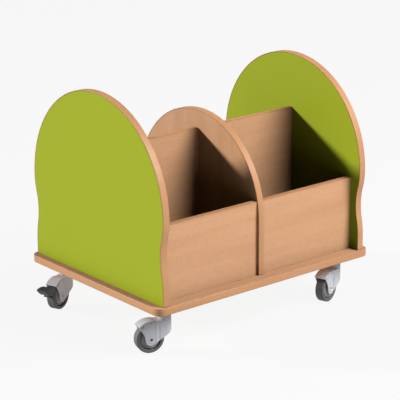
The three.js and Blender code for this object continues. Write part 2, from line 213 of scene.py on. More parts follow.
# Marks of handling: soft cloudy patches where a finish has been wiped or rubbed, with a few fine scuffs.
handling, given, put = new_group(
    "handling marks",
    [("Vector", "NodeSocketVector", None), ("Size", "NodeSocketFloat", 1.0)],
    [("Clouds", "NodeSocketFloat"), ("Scuffs", "NodeSocketFloat")],
)
sized = node(handling, "VectorMath", {"operation": "SCALE"}, Vector=given["Vector"], Scale=given["Size"])
clouds = node(handling, "TexNoise", {}, Vector=sized.outputs["Vector"], Scale=9.0, Detail=5.0, Roughness=0.6)
scuff_at = node(handling, "Mapping", Vector=sized.outputs["Vector"], Scale=(240, 30, 240),
                Rotation=(0.4, 0.2, 0.7))
scuffs = node(handling, "TexNoise", {}, Vector=scuff_at.outputs["Vector"], Scale=1.0, Detail=2.0)
scuff_mask = node(handling, "MapRange", Value=scuffs.outputs["Fac"], From_Min=0.66, From_Max=0.78)
handling.links.new(clouds.outputs["Fac"], put["Clouds"])
handling.links.new(scuff_mask.outputs["Result"], put["Scuffs"])

# Worn and highlighted arrises: how near a point is to a sharp edge, broken up so that it comes and goes. The
# materials lighten their colour there, partly as rubbed wear and partly as a painted highlight along the
# edges.
worn_and_highlit_edges, given, put = new_group(
    "worn and highlighted edges",
    [("Vector", "NodeSocketVector", None), ("Width", "NodeSocketFloat", 0.0015)],
    [("Wear_and_highlight", "NodeSocketFloat")],
)
true_face = node(worn_and_highlit_edges, "NewGeometry")
rounded = node(worn_and_highlit_edges, "Bevel", {"samples": 6}, Radius=given["Width"])
facing = node(worn_and_highlit_edges, "VectorMath", {"operation": "DOT_PRODUCT"})
worn_and_highlit_edges.links.new(true_face.outputs["Normal"], facing.inputs[0])
worn_and_highlit_edges.links.new(rounded.outputs["Normal"], facing.inputs[1])
edge = node(worn_and_highlit_edges, "MapRange", Value=facing.outputs["Value"], From_Min=0.99, From_Max=0.86)
broken = node(worn_and_highlit_edges, "TexNoise", {}, Vector=given["Vector"], Scale=60.0, Detail=3.0)
broken_mask = node(worn_and_highlit_edges, "MapRange", Value=broken.outputs["Fac"], From_Min=0.35, From_Max=0.65)
worn_and_highlit_edges.links.new(math_node(worn_and_highlit_edges, "MULTIPLY", edge.outputs["Result"], broken_mask.outputs["Result"]),
                     put["Wear_and_highlight"])


def new_material(name):
    made = bpy.data.materials.new(name)
    made.use_nodes = True
    tree = made.node_tree
    return made, tree, tree.nodes["Principled BSDF"]


def place_group(tree, group, **inputs):
    made = tree.nodes.new("ShaderNodeGroup")
    made.node_tree = group
    for key, value in inputs.items():
        if isinstance(value, bpy.types.NodeSocket):
            tree.links.new(value, made.inputs[key])
        else:
            made.inputs[key].default_value = value
    return made.outputs


def blend_colour(tree, share, a, b, how="MIX"):
    made = tree.nodes.new("ShaderNodeMix")
    made.data_type = "RGBA"
    made.blend_type = how
    for name, value in (("Factor", share), ("A", a), ("B", b)):
        wanted = [s for s in made.inputs if s.name == name and s.enabled][0]
        if isinstance(value, bpy.types.NodeSocket):
            tree.links.new(value, wanted)
        elif isinstance(value, (int, float)):
            wanted.default_value = value
        else:
            wanted.default_value = (*value, 1)
    return [s for s in made.outputs if s.enabled][0]


# How each way of laying the grain turns a point of the cart into (along, across, across).
along_x = (0, 0, 0)
along_z = (0, math.pi / 2, 0)


def beech(name, pale, deep, fleck, seed, lay=along_x, by_edge=False):
    """Lacquered beech. by_edge takes the grain's run from the piece's own edge map."""
    made, tree, skin = new_material(name)
    place = tree.nodes.new("ShaderNodeTexCoord")
    if by_edge:
        point = place.outputs["UV"]
    else:
        laid = node(tree, "Mapping", Vector=place.outputs["Object"], Rotation=lay,
                    Location=(seed, seed / 3, 0))
        point = laid.outputs["Vector"]
    figure = place_group(tree, beech_figure, Vector=point, Seed=seed)
    marks = place_group(tree, handling, Vector=place.outputs["Object"], Size=1.0)
    edge_wear_and_highlight = place_group(tree, worn_and_highlit_edges, Vector=place.outputs["Object"], Width=0.0016)
    colour = blend_colour(tree, figure["Tone"], pale, deep)
    fine = math_node(tree, "MULTIPLY", figure["Lines"], 0.32)
    colour = blend_colour(tree, fine, colour, deep)
    ticks = math_node(tree, "MULTIPLY", figure["Flecks"], 0.55)
    colour = blend_colour(tree, ticks, colour, fleck)
    # Lighter arrises: partly rubbed wear, partly a painted highlight along the edges.
    rubbed_and_lit_edge = math_node(tree, "MULTIPLY", edge_wear_and_highlight["Wear_and_highlight"], 0.45)
    colour = blend_colour(tree, rubbed_and_lit_edge, colour, [min(1, 1.18 * c) for c in pale])
    tree.links.new(colour, skin.inputs["Base Color"])
    gloss = node(tree, "MapRange", Value=marks["Clouds"], From_Min=0.3, From_Max=0.7, To_Min=0.40,
                 To_Max=0.52)
    dulled = math_node(tree, "MULTIPLY", marks["Scuffs"], 0.12)
    tree.links.new(math_node(tree, "ADD", gloss.outputs["Result"], dulled), skin.inputs["Roughness"])
    skin.inputs["Specular IOR Level"].default_value = 0.35
    bump = node(tree, "Bump", Strength=0.18, Distance=0.0002, Height=figure["Height"])
    tree.links.new(bump.outputs["Normal"], skin.inputs["Normal"])
    return made


def piece(form, name, body, kind, look, *stands_for, sharp=32):
    """A finished form as an object: welded, faces outwards, shaded smooth up to its sharp edges."""
    bmesh.ops.remove_doubles(form, verts=form.verts, dist=1e-6)
    bmesh.ops.recalc_face_normals(form, faces=form.faces)
    mesh = bpy.data.meshes.new(name)
    form.to_mesh(mesh)
    form.free()
    return mesh_piece(mesh, name, body, kind, look, *stands_for, sharp=sharp)


def mesh_piece(mesh, name, body, kind, look, *stands_for, sharp=32):
    mesh.name = name
    mesh.shade_smooth()
    mesh.set_sharp_from_angle(angle=math.radians(sharp))
    mesh.materials.clear()
    mesh.materials.append(look)
    made = bpy.data.objects.new(name, mesh)
    scene.collection.objects.link(made)
    level = made.modifiers.new("flat faces stay flat", "WEIGHTED_NORMAL")
    level.keep_sharp = True
    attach(made, body)
    if stands_for:
        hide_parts(*stands_for)
    return made


def rounded_plan(form, low, high, corner, z):
    """A flat face in plan with rounded corners."""
    made = bmesh.ops.create_grid(form, x_segments=1, y_segments=1, size=0.5)
    size = (high - low).to_3d()
    bmesh.ops.scale(form, vec=(size.x, size.y, 1), verts=made["verts"])
    middle = (low + high) / 2
    bmesh.ops.translate(form, vec=(middle.x, middle.y, z), verts=made["verts"])
    bmesh.ops.bevel(form, geom=made["verts"], offset=corner, segments=14, profile=0.5, affect="VERTICES",
                    material=-1)
    return form.faces[:]


def thicken(form, faces, depth):
    """Draws flat faces out along a vector into a closed board."""
    out = bmesh.ops.extrude_face_region(form, geom=faces)
    moved = [g for g in out["geom"] if isinstance(g, bmesh.types.BMVert)]
    bmesh.ops.translate(form, vec=depth, verts=moved)
    bmesh.ops.recalc_face_normals(form, faces=form.faces)


def ease(form, radius, steps=3, least=40):
    """Rounds every arris sharper than an angle over."""
    form.normal_update()
    arrises = [e for e in form.edges if len(e.link_faces) == 2 and e.calc_face_angle(0) > math.radians(least)]
    bmesh.ops.bevel(form, geom=arrises, offset=radius, segments=steps, profile=0.5, affect="EDGES",
                    material=-1)


beech_pale = (0.715, 0.400, 0.222)
beech_deep = (0.630, 0.330, 0.172)
beech_fleck = (0.330, 0.150, 0.070)
board_low, board_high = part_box("base_board")
band_low, band_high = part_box("base_lipping")
board_corner = 0.0212
base_ease = 0.0016

form = bmesh.new()
rounded_plan(form, board_low, board_high, board_corner, board_low.z)
thicken(form, form.faces[:], (0, 0, board_high.z - board_low.z))
ease(form, 0.0002, 1)
base_look = beech("beech base board", beech_pale, beech_deep, beech_fleck, 3.0)
piece(form, "base_board_veneered", "cart", "beech", base_look, "base_board")

# ---- base board's lipping -------------------------------------------------------------------------
# A band of solid beech glued round the board's edge and trimmed flush, with its two arrises rounded over
# so that it doesn't bruise shins.
edge_pale = (0.640, 0.335, 0.170)
edge_deep = (0.540, 0.265, 0.122)
edge_fleck = (0.300, 0.130, 0.055)
band = 0.0025


def map_edge(mesh, run_of):
    """Writes the edge map: U runs along the lipping and V across it, in metres."""
    layer = mesh.uv_layers.new(name="edge")
    for face in mesh.polygons:
        for corner in face.loop_indices:
            point = mesh.vertices[mesh.loops[corner].vertex_index].co
            layer.data[corner].uv = run_of(point, face.normal)


form = bmesh.new()
outline = rounded_plan(form, band_low, band_high, 0.024, band_low.z)
bmesh.ops.inset_region(form, faces=outline, thickness=band, use_even_offset=True,
                             use_boundary=True)
bmesh.ops.delete(form, geom=outline, context="FACES")
thicken(form, form.faces[:], (0, 0, band_high.z - band_low.z))
ease(form, base_ease, 3)
mesh = bpy.data.meshes.new("base_lipping_band")
bmesh.ops.recalc_face_normals(form, faces=form.faces)
form.to_mesh(mesh)
form.free()
map_edge(mesh, lambda p, n: (p.y if abs(n.x) > abs(n.y) else p.x, p.z))
lipping_look = beech("beech lipping", edge_pale, edge_deep, edge_fleck, 7.0, by_edge=True)
mesh_piece(mesh, "base_lipping_band", "cart", "beech_edge", lipping_look, "base_lipping")

# ---- dowels ---------------------------------------------------------------------------------------
# Ribbed beech dowels, glued into the end panels and the base board, where nobody sees them again.
def hidden_wood(name, pale, deep, size):
    made, tree, skin = new_material(name)
    place = tree.nodes.new("ShaderNodeTexCoord")
    chips = node(tree, "TexVoronoi", {"feature": "F1"}, Vector=place.outputs["Object"], Scale=size)
    colour = blend_colour(tree, chips.outputs["Color"], pale, deep)
    tree.links.new(colour, skin.inputs["Base Color"])
    skin.inputs["Roughness"].default_value = 0.85
    bump = node(tree, "Bump", Strength=0.4, Distance=0.0005, Height=chips.outputs["Distance"])
    tree.links.new(bump.outputs["Normal"], skin.inputs["Normal"])
    return made


dowel_look = hidden_wood("raw dowel wood", (0.62, 0.44, 0.26), (0.52, 0.35, 0.19), 600.0)
for name, member in nodes.items():
    if name.startswith("dowel_"):
        member.data.materials.clear()
        member.data.materials.append(dowel_look)

# ---- end panels: core -----------------------------------------------------------------------------
# Chipboard, sawn to the outline and drilled for the dowels. The laminate and the lipping cover it.
chip_look = hidden_wood("chipboard", (0.56, 0.40, 0.23), (0.36, 0.23, 0.12), 320.0)
for side in ("left", "right"):
    core = nodes[f"end_panel_{side}"]
    core.data.materials.clear()
    core.data.materials.append(chip_look)

# ---- end panels: outline and lipping --------------------------------------------------------------
# Strips of solid beech bent round the panel's edge: up the foot, in at the waist, and over the half-round
# crown. They are trimmed flush with the laminate and their arrises are rounded.
foot_rise = 0.040
waist_depth = 0.010
waist_rise = 0.128
crown_swell = 0.003
crown_rise = 0.220
end_lip = 0.0025
lip_ease = 0.0009
board_top = board_high.z


def swing(form, vert, centre, angle, steps):
    """Swings a vertex round a centre, about an axis along X, and leaves a chain of edges behind it."""
    out = bmesh.ops.spin(form, geom=[vert], cent=centre, axis=(1, 0, 0), angle=angle, steps=steps,
                         use_duplicate=False)
    return [g for g in out["geom_last"] if isinstance(g, bmesh.types.BMVert)][0]


def drop(form, vert, depth):
    out = bmesh.ops.extrude_vert_indiv(form, verts=[vert])
    bmesh.ops.translate(form, vec=(0, 0, -depth), verts=out["verts"])
    return out["verts"][0]


def sway(form, vert, height, shift, steps):
    """An S-curve downwards from upright to upright, outwards by shift (inwards if it is negative)."""
    radius = (height * height + shift * shift) / (4 * abs(shift))
    angle = math.asin(height / 2 / radius)
    way = math.copysign(1, shift)
    start = vert.co.copy()
    vert = swing(form, vert, start - Vector((0, way * radius, 0)), -way * angle, steps)
    end = Vector((start.x, start.y - shift, start.z - height))
    return swing(form, vert, end + Vector((0, way * radius, 0)), way * angle, steps)


def fill_mirrored(form):
    """Mirrors a half outline from front to rear and fills it with one face."""
    bmesh.ops.mirror(form, geom=form.verts[:] + form.edges[:], matrix=Matrix.Identity(4), merge_dist=1e-6,
                     axis="Y")
    ends = [v for v in form.verts if len(v.link_edges) == 1]
    bmesh.ops.contextual_create(form, geom=ends)
    bmesh.ops.contextual_create(form, geom=form.edges[:])
    return form.faces[:]


def end_outline(form, x, foot_half, bottom):
    crown_half = foot_half + crown_swell
    crown = board_top + crown_rise
    vert = form.verts.new((x, 0, crown + crown_half))
    vert = swing(form, vert, (x, 0, crown), math.pi / 2, 48)
    vert = sway(form, vert, crown_rise - waist_rise, -(crown_swell + waist_depth), 7)
    vert = sway(form, vert, waist_rise - foot_rise, waist_depth, 7)
    drop(form, vert, board_top + foot_rise - bottom)
    return fill_mirrored(form)


def level_cut(form, z):
    """Takes off all that reaches below a height and closes the cut."""
    whole = form.verts[:] + form.edges[:] + form.faces[:]
    out = bmesh.ops.bisect_plane(form, geom=whole, plane_co=(0, 0, z), plane_no=(0, 0, 1), clear_inner=True)
    return [g for g in out["geom_cut"] if isinstance(g, bmesh.types.BMEdge)]


def arch_run(crown, radius):
    """U for a piece that goes up one side, over a half-round crown and down the other."""
    def run(point, normal):
        if point.z > crown:
            return (radius * math.atan2(point.y, point.z - crown), point.x)
        return (math.copysign(radius * math.pi / 2 + crown - point.z, point.y), point.x)
    return run


def arch_lipping(name, outline, lip, radius, crown, stands_for):
    low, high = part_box(stands_for)
    form = bmesh.new()
    faces = outline(form, low.x, low.z - 2 * lip)
    bmesh.ops.inset_region(form, faces=faces, thickness=lip, use_even_offset=True,
                             use_boundary=True)
    bmesh.ops.delete(form, geom=faces, context="FACES")
    level_cut(form, low.z)
    thicken(form, form.faces[:], (high.x - low.x, 0, 0))
    ease(form, lip_ease, 3, 60)
    bmesh.ops.recalc_face_normals(form, faces=form.faces)
    mesh = bpy.data.meshes.new(name)
    form.to_mesh(mesh)
    form.free()
    map_edge(mesh, arch_run(crown, radius))
    mesh_piece(mesh, name, "cart", "beech_edge", lipping_look, stands_for)


foot_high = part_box("end_lipping_left")[1]
end_foot_half = foot_high.y - crown_swell
for side in ("left", "right"):
    arch_lipping(f"end_lipping_{side}_bent",
                 lambda form, x, bottom: end_outline(form, x, end_foot_half, bottom),
                 end_lip, end_foot_half, board_top + crown_rise, f"end_lipping_{side}")

# ---- end panels: laminate -------------------------------------------------------------------------
# Lime-green laminate, one sheet pressed on each face of the core. It has a smooth, slightly pearly
# skin with a soft sheen.
green = (0.362, 0.428, 0.020)
green_deep = (0.345, 0.410, 0.017)

laminate_look, tree, skin = new_material("lime-green laminate")
place = tree.nodes.new("ShaderNodeTexCoord")
marks = place_group(tree, handling, Vector=place.outputs["Object"], Size=0.8)
edge_wear_and_highlight = place_group(tree, worn_and_highlit_edges, Vector=place.outputs["Object"], Width=0.0012)
colour = blend_colour(tree, marks["Clouds"], green, green_deep)
# Lighter green along the arrises: partly rubbed wear, partly a painted highlight along the edges.
rubbed_and_lit_edge = math_node(tree, "MULTIPLY", edge_wear_and_highlight["Wear_and_highlight"], 0.2)
colour = blend_colour(tree, rubbed_and_lit_edge, colour, (0.55, 0.60, 0.18))
tree.links.new(colour, skin.inputs["Base Color"])
gloss = node(tree, "MapRange", Value=marks["Clouds"], From_Min=0.3, From_Max=0.7, To_Min=0.46, To_Max=0.56)
dulled = math_node(tree, "MULTIPLY", marks["Scuffs"], 0.10)
tree.links.new(math_node(tree, "ADD", gloss.outputs["Result"], dulled), skin.inputs["Roughness"])
skin.inputs["Specular IOR Level"].default_value = 0.12
pearls = node(tree, "TexVoronoi", {"feature": "SMOOTH_F1"}, Vector=place.outputs["Object"], Scale=900.0)
bump = node(tree, "Bump", Strength=0.12, Distance=0.0001, Height=pearls.outputs["Distance"])
tree.links.new(bump.outputs["Normal"], skin.inputs["Normal"])

lip_joint = 0.0003
for side in ("left", "right"):
    for face in ("outer", "inner"):
        low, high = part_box(f"laminate_{side}_{face}")
        form = bmesh.new()
        faces = end_outline(form, low.x, end_foot_half, low.z - 0.01)
        rim = bmesh.ops.inset_region(form, faces=faces, thickness=end_lip + lip_joint, use_even_offset=True,
                             use_boundary=True)
        bmesh.ops.delete(form, geom=rim["faces"], context="FACES")
        level_cut(form, low.z)
        thicken(form, form.faces[:], (high.x - low.x, 0, 0))
        ease(form, 0.00025, 2)
        piece(form, f"laminate_{side}_{face}_sheet", "cart", "green_laminate", laminate_look,
              f"laminate_{side}_{face}")

# ---- divider --------------------------------------------------------------------------------------
# A board veneered in beech with its grain upright, and a half-round top. Its curved edge has a thin
# lipping of solid beech.
divider_crown_rise = 0.146
divider_lip = 0.002
divider_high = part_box("divider_lipping")[1]
divider_half = divider_high.y
divider_crown = board_top + divider_crown_rise


def divider_outline(form, x, half, bottom):
    vert = form.verts.new((x, 0, divider_crown + half))
    vert = swing(form, vert, (x, 0, divider_crown), math.pi / 2, 44)
    drop(form, vert, divider_crown - bottom)
    return fill_mirrored(form)


arch_lipping("divider_lipping_bent", lambda form, x, bottom: divider_outline(form, x, divider_half, bottom),
             divider_lip, divider_half, divider_crown, "divider_lipping")

divider_look = beech("beech divider, grain upright", beech_pale, beech_deep, beech_fleck, 11.0, along_z)
low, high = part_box("divider")
form = bmesh.new()
divider_outline(form, low.x, divider_half - divider_lip - lip_joint, low.z)
thicken(form, form.faces[:], (high.x - low.x, 0, 0))
ease(form, 0.0002, 1)
piece(form, "divider_veneered", "cart", "beech", divider_look, "divider")

# ---- centre walls, front and rear panels ----------------------------------------------------------
# Boards veneered in beech with the grain lying along the cart, glued and dowelled between the divider and
# the end panels. A strip of beech edging is ironed along each top edge.
def board(name, kind, look, stands_for, radius, steps):
    low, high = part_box(stands_for)
    form = bmesh.new()
    cube = bmesh.ops.create_cube(form, size=1)
    bmesh.ops.scale(form, vec=high - low, verts=cube["verts"])
    bmesh.ops.translate(form, vec=(low + high) / 2, verts=cube["verts"])
    ease(form, radius, steps)
    piece(form, name, "cart", kind, look, stands_for)


strip_look = beech("beech edging strip", edge_pale, edge_deep, edge_fleck, 19.0)
for number, stem in enumerate(("centre_wall", "front_panel", "rear_panel")):
    for side in ("left", "right"):
        look = beech(f"beech {stem} {side}".replace("_", " "), beech_pale, beech_deep, beech_fleck,
                     23.0 + 5 * number + (2 if side == "right" else 0))
        board(f"{stem}_{side}_board", "beech", look, f"{stem}_{side}", 0.0003, 2)
        board(f"{stem}_{side}_strip", "beech_edge", strip_look, f"{stem}_{side}_edging", 0.0005, 3)

# ---- casters: stems -------------------------------------------------------------------------------
# A plated steel stem on each caster: a threaded shank screwed up into the board, a round flange that
# bears on its underside, and below it the pin that the housing turns on.
spots = {}
for spot in ("front_left", "front_right", "rear_left", "rear_right"):
    swivel = Vector(joints[f"{spot}_swivel"]["pos_m"])
    hub = Vector(joints[f"{spot}_roll"]["pos_m"])
    heading = math.atan2(hub.y - swivel.y, hub.x - swivel.x)
    spots[spot] = Matrix.Translation((swivel.x, swivel.y, 0)) @ Matrix.Rotation(heading, 4, "Z")
braked = ("rear_left", "rear_right")
axle_at = Vector((hub - swivel).to_2d().length * Vector((1, 0, 0)) + Vector((0, 0, hub.z)))


def lathe(form, outline, steps, closed=False):
    """Turns an outline of (radius, height) full circle about the upright through the origin."""
    chain = [form.verts.new((radius, 0, height)) for radius, height in outline]
    edges = [form.edges.new(pair) for pair in zip(chain, chain[1:])]
    if closed:
        edges.append(form.edges.new((chain[-1], chain[0])))
    bmesh.ops.spin(form, geom=chain + edges, cent=(0, 0, 0), axis=(0, 0, 1), angle=2 * math.pi, steps=steps,
                   use_merge=True, use_duplicate=False)


def on_casters(form, part, finish, body, kind, look, where=tuple(spots), sharp=32):
    """A form made in a caster's own frame (upright on the swivel axis, wheel trailing along X), set in place
    on each caster."""
    bmesh.ops.remove_doubles(form, verts=form.verts, dist=1e-6)
    bmesh.ops.recalc_face_normals(form, faces=form.faces)
    for spot in where:
        node_name = f"caster_{spot}_{part}"
        mesh = bpy.data.meshes.new(node_name)
        form.to_mesh(mesh)
        mesh.transform(spots[spot])
        mesh_piece(mesh, f"{node_name}_{finish}", f"{body}_{spot}" if body != "cart" else body, kind, look,
                   node_name, sharp=sharp)
    form.free()


def plated(name, colour, rough):
    """Zinc-plated steel, with the faint cloudy bloom of its passivation and fine wipe marks."""
    made, tree, skin = new_material(name)
    place = tree.nodes.new("ShaderNodeTexCoord")
    marks = place_group(tree, handling, Vector=place.outputs["Object"], Size=6.0)
    shade = blend_colour(tree, marks["Clouds"], colour, [0.82 * c for c in colour])
    tree.links.new(shade, skin.inputs["Base Color"])
    skin.inputs["Metallic"].default_value = 1.0
    gloss = node(tree, "MapRange", Value=marks["Clouds"], From_Min=0.3, From_Max=0.7, To_Min=rough,
                 To_Max=rough + 0.14)
    dulled = math_node(tree, "MULTIPLY", marks["Scuffs"], 0.15)
    tree.links.new(math_node(tree, "ADD", gloss.outputs["Result"], dulled), skin.inputs["Roughness"])
    bump = node(tree, "Bump", Strength=0.1, Distance=0.0001, Height=marks["Scuffs"])
    tree.links.new(bump.outputs["Normal"], skin.inputs["Normal"])
    return made


steel_look = plated("zinc-plated steel", (0.62, 0.63, 0.65), 0.26)
stem_low, stem_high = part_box("caster_front_left_stem")
race_low, race_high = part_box("caster_front_left_swivel_race")
pin_radius = 0.006
flange_radius = 0.019
flange_low = race_high.z + 0.0003
flange_high = board_low.z - 0.0003
shank_radius = 0.005
thread_pitch = 0.0015
thread_depth = 0.0005
stem_outline = [(0, stem_low.z), (pin_radius - 0.001, stem_low.z), (pin_radius, stem_low.z + 0.001),
                (pin_radius, flange_low), (flange_radius - 0.0006, flange_low),
                (flange_radius, flange_low + 0.0006), (flange_radius, flange_high - 0.0006),
                (flange_radius - 0.0006, flange_high), (shank_radius, flange_high)]
height = flange_high + 0.001
while height + thread_pitch < stem_high.z - 0.001:
    stem_outline += [(shank_radius, height), (shank_radius - thread_depth, height + thread_pitch / 2)]
    height += thread_pitch
stem_outline += [(shank_radius, height), (shank_radius - 0.001, stem_high.z), (0, stem_high.z)]
form = bmesh.new()
lathe(form, stem_outline, 48)
on_casters(form, "stem", "turned", "cart", "steel", steel_look)

# ---- casters: swivel races ------------------------------------------------------------------------
# A pressed steel ball race between the flange and the housing. It turns with the housing.
race_inner = 0.008
race_outer = 0.015
race_round = 0.0008
form = bmesh.new()
lathe(form, [(race_inner, race_low.z), (race_outer, race_low.z), (race_outer, race_high.z),
             (race_inner, race_high.z)], 48, closed=True)
ease(form, race_round, 3)
on_casters(form, "swivel_race", "pressed", "swivel", "steel", steel_look)

# ---- casters: housings ----------------------------------------------------------------------------
# Moulded in light grey nylon: a round column, a hood over the wheel and two cheeks down to the axle. Each
# cheek is sunk behind a rim, with a hollow beside the column and raised eyes round the axle and pinholes.
column_radius = 0.0175
column_foot = 0.054
housing_top = race_low.z - 0.0003
cheek_half = column_radius
boss = 0.016
boss_turn = 0.012
hood_inner = 0.0455
hood_outer = 0.049
hood_mouth = math.radians(48)
neck = math.radians(108)
well_half = 0.015
rim_width = 0.0028
sunk = 0.0008
plate_start = 0.0295
upwards = (0, -1, 0)
column_low = 0.030
hollow_radius = 0.011
hollow_off = 0.0098
hollow_at = 0.0215
axle_eye = 0.009
pivot_eye = 0.0033
spring_eye = 0.0026
axle_hole = 0.0043
pivot_hole = 0.0018
spring_hole = 0.0013
right_through = 0.040


def from_axle(radius, angle, centre=axle_at):
    """A point in a caster's mid-plane at a radius and an angle about the axle, or about another centre."""
    return centre + Vector((math.cos(angle), 0, math.sin(angle))) * radius


def lead(form, vert, point):
    """A straight edge from a vertex to a point."""
    end = form.verts.new(point)
    form.edges.new((vert, end))
    return end


def curve(form, vert, pull, end, steps=14):
    """A smooth curve from a vertex to an end, pulled towards a point."""
    start = vert.co.copy()
    for step in range(1, steps + 1):
        share = step / steps
        point = start * (1 - share) ** 2 + pull * (2 * share * (1 - share)) + end * share ** 2
        vert = lead(form, vert, point)
    return vert


def arc(form, vert, start, end, steps, centre=axle_at):
    """Carries a vertex round the axle, or another centre, from one angle to another."""
    out = bmesh.ops.spin(form, geom=[vert], cent=centre, axis=upwards, angle=end - start, steps=steps,
                         use_duplicate=False)
    return [g for g in out["geom_last"] if isinstance(g, bmesh.types.BMVert)][0]


foot = Vector((-column_radius, 0, column_foot))
to_axle = axle_at - foot
touch = math.atan2(to_axle.z, to_axle.x) - math.asin(boss / to_axle.length) - math.pi / 2
edge_run = (from_axle(boss, touch) - foot).normalized()
edge_out = Vector((edge_run.z, 0, -edge_run.x))


def housing_face(form):
    """The side of the housing behind the column's axis, as one flat face in the mid-plane."""
    front = foot + edge_run * (-foot.x / edge_run.x)
    vert = form.verts.new(front)
    first = vert
    vert = lead(form, vert, from_axle(boss, touch))
    vert = arc(form, vert, touch, 0, 28)
    bend = vert.co + Vector((0, 0, boss_turn))
    mouth = from_axle(hood_inner, hood_mouth)
    vert = curve(form, vert, bend, mouth, 8)
    vert = lead(form, vert, from_axle(hood_outer, hood_mouth))
    vert = arc(form, vert, hood_mouth, neck, 24)
    vert = lead(form, vert, (0, 0, from_axle(hood_outer, neck).z))
    form.edges.new((vert, first))
    bmesh.ops.contextual_create(form, geom=form.edges[:])
    return form.faces[:]


def tool(form):
    """A closed form as a loose object, to be joined to another or cut from it."""
    bmesh.ops.remove_doubles(form, verts=form.verts, dist=1e-6)
    bmesh.ops.recalc_face_normals(form, faces=form.faces)
    if form.calc_volume(signed=True) < 0:
        bmesh.ops.reverse_faces(form, faces=form.faces)
    mesh = bpy.data.meshes.new("shop tool")
    form.to_mesh(mesh)
    form.free()
    made = bpy.data.objects.new("shop tool", mesh)
    scene.collection.objects.link(made)
    return made


def worked(body, jobs):
    """The mesh that is left once tools are joined to a body and cut from it, in order."""
    for way, cutter in jobs:
        job = body.modifiers.new(way, "BOOLEAN")
        job.operation = way
        job.solver = "MANIFOLD"
        job.object = cutter
    mesh = bpy.data.meshes.new_from_object(body.evaluated_get(bpy.context.evaluated_depsgraph_get()))
    for spent in [body] + [cutter for way, cutter in jobs]:
        bpy.data.objects.remove(spent)
    return mesh


def round_bar(radius, length, middle, across=True, sides=64):
    """A round bar, lying across the wheel or standing upright."""
    form = bmesh.new()
    bmesh.ops.create_cone(form, cap_ends=True, segments=sides, radius1=radius, radius2=radius, depth=length)
    if across:
        bmesh.ops.rotate(form, matrix=Matrix.Rotation(math.pi / 2, 3, "X"), verts=form.verts)
    bmesh.ops.translate(form, vec=middle, verts=form.verts)
    return form


form = bmesh.new()
thicken(form, housing_face(form), (0, 2 * cheek_half, 0))
bmesh.ops.translate(form, vec=(0, -cheek_half, 0), verts=form.verts)
arrises = [e for e in form.edges if abs(e.verts[0].co.y - e.verts[1].co.y) < 1e-6
           and max(v.co.x for v in e.verts) > 1e-6]
bmesh.ops.bevel(form, geom=arrises, offset=0.0018, segments=4, profile=0.5, affect="EDGES", material=-1)
cheeks = tool(form)

column_middle = (0, 0, (housing_top + column_low) / 2)
form = round_bar(column_radius, housing_top - column_low, column_middle, across=False)
whole = form.verts[:] + form.edges[:] + form.faces[:]
cut = bmesh.ops.bisect_plane(form, geom=whole, plane_co=foot, plane_no=edge_out, clear_outer=True)
bmesh.ops.contextual_create(form, geom=[g for g in cut["geom_cut"] if isinstance(g, bmesh.types.BMEdge)])
ease(form, 0.0014, 4, 45)
column = tool(form)

pivot = from_axle(0.0413, math.radians(58.6))
spring = from_axle(0.0431, math.radians(92))
jobs = [("UNION", column)]
for side in (-1, 1):
    form = bmesh.new()
    faces = housing_face(form)
    bmesh.ops.inset_region(form, faces=faces, thickness=rim_width, use_even_offset=True, use_boundary=True)
    bmesh.ops.delete(form, geom=[f for f in form.faces if f not in faces], context="FACES")
    whole = form.verts[:] + form.edges[:] + form.faces[:]
    bmesh.ops.bisect_plane(form, geom=whole, plane_co=(plate_start, 0, 0), plane_no=(1, 0, 0),
                           clear_inner=True)
    thicken(form, form.faces[:], (0, 2 * sunk, 0))
    bmesh.ops.translate(form, vec=(0, side * cheek_half - sunk, 0), verts=form.verts)
    jobs.append(("DIFFERENCE", tool(form)))
    hollow_middle = (hollow_at, side * (cheek_half + hollow_off), 0.050)
    hollow = round_bar(hollow_radius, 0.060, hollow_middle, across=False)
    jobs.append(("DIFFERENCE", tool(hollow)))
    for eye, radius in ((axle_at, axle_eye), (pivot, pivot_eye), (spring, spring_eye)):
        raised = round_bar(radius, 2 * sunk, eye + Vector((0, side * (cheek_half - sunk), 0)))
        ease(raised, 0.0003, 2, 60)
        jobs.append(("UNION", tool(raised)))
jobs.append(("DIFFERENCE", tool(round_bar(hood_inner, 2 * well_half, axle_at, sides=96))))
socket_depth = housing_top - stem_low.z + 0.0003
socket_bar = round_bar(pin_radius + 0.0003, 2 * socket_depth, (0, 0, housing_top), across=False)
jobs.append(("DIFFERENCE", tool(socket_bar)))
for eye, radius in ((axle_at, axle_hole), (pivot, pivot_hole), (spring, spring_hole)):
    jobs.append(("DIFFERENCE", tool(round_bar(radius, right_through, eye, sides=32))))

housing_look, tree, skin = new_material("light grey nylon")
place = tree.nodes.new("ShaderNodeTexCoord")
marks = place_group(tree, handling, Vector=place.outputs["Object"], Size=4.0)
edge_wear_and_highlight = place_group(tree, worn_and_highlit_edges, Vector=place.outputs["Object"], Width=0.0006)
colour = blend_colour(tree, marks["Clouds"], (0.620, 0.640, 0.690), (0.560, 0.580, 0.625))
# Paler grey along the arrises: partly rubbed wear, partly a painted highlight along the edges.
colour = blend_colour(tree, math_node(tree, "MULTIPLY", edge_wear_and_highlight["Wear_and_highlight"], 0.35), colour, (0.70, 0.70, 0.72))
tree.links.new(colour, skin.inputs["Base Color"])
gloss = node(tree, "MapRange", Value=marks["Clouds"], From_Min=0.3, From_Max=0.7, To_Min=0.38, To_Max=0.52)
dulled = math_node(tree, "MULTIPLY", marks["Scuffs"], 0.12)
tree.links.new(math_node(tree, "ADD", gloss.outputs["Result"], dulled), skin.inputs["Roughness"])
grain = node(tree, "TexNoise", {}, Vector=place.outputs["Object"], Scale=2200.0, Detail=2.0)
bump = node(tree, "Bump", Strength=0.12, Distance=0.0001, Height=grain.outputs["Fac"])
tree.links.new(bump.outputs["Normal"], skin.inputs["Normal"])

